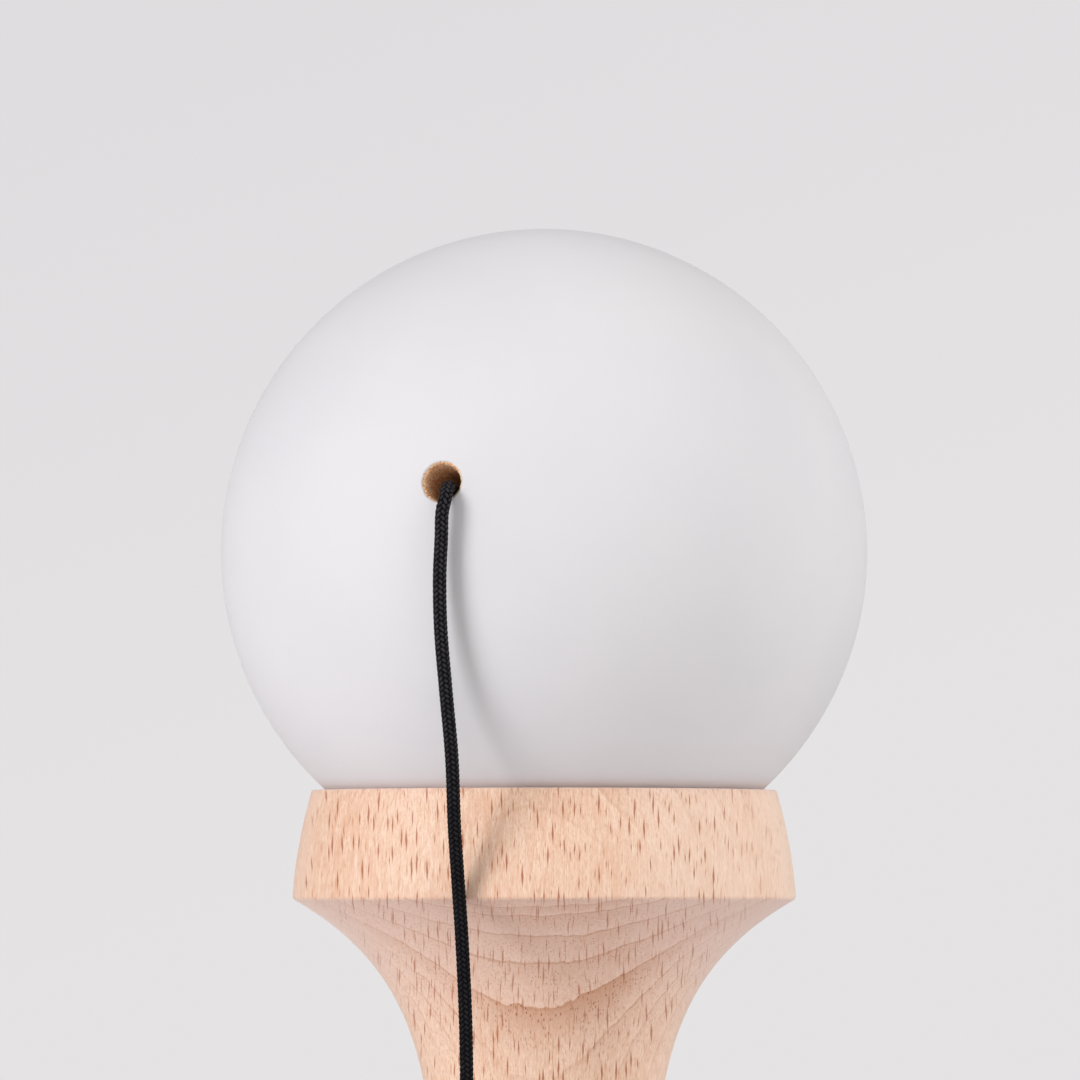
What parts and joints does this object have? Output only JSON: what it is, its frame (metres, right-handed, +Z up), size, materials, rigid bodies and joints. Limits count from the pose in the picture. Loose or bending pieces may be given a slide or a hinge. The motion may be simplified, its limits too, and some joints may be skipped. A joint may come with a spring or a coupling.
{
  "type": "kendama",
  "caption": "Wooden skill toy: a turned handle with spike and base cup, a crosspiece with two cups, and a painted ball on a string, resting on the base cup.",
  "frame": {"origin": "middle of the spike on the ken's axis, where the fingers hold it with the base cup up", "axes": "+Z up along the ken from the spike to the base cup and the ball; +X along the crosspiece towards its big cup; -Y the front, where the string hangs"},
  "size_m": [0.069, 0.0615, 0.2737],
  "materials": {
    "beech": "satin turned beech with fine dark flecks",
    "pale_paint": "pale grey-white satin paint over turned beech",
    "bead_wood": "plain turned wood",
    "black_braid": "fine black braided cord"
  },
  "bodies": {
    "ken": {"ken": "beech", "sarado": "beech", "ken_knot": "black_braid", "string_in_ken": "black_braid", "string_slack": "black_braid", "string_fall": "black_braid"},
    "string_end": {"bead": "bead_wood", "bead_knot": "black_braid", "string_in_tama": "black_braid"},
    "tama": {"tama": "pale_paint"}
  },
  "joints": [
    {"name": "tama_lift", "type": "slide", "parent": "ken", "child": "string_end", "axis": [0, 0, 1], "range_m": [0, 0.22], "deforming": ["string_fall", "string_slack"]},
    {"name": "tama_spin", "type": "hinge", "parent": "string_end", "child": "tama", "pos_m": [0, 0, 0.15813], "axis": [0, -0.9848, 0.1736], "continuous": true}
  ]
}
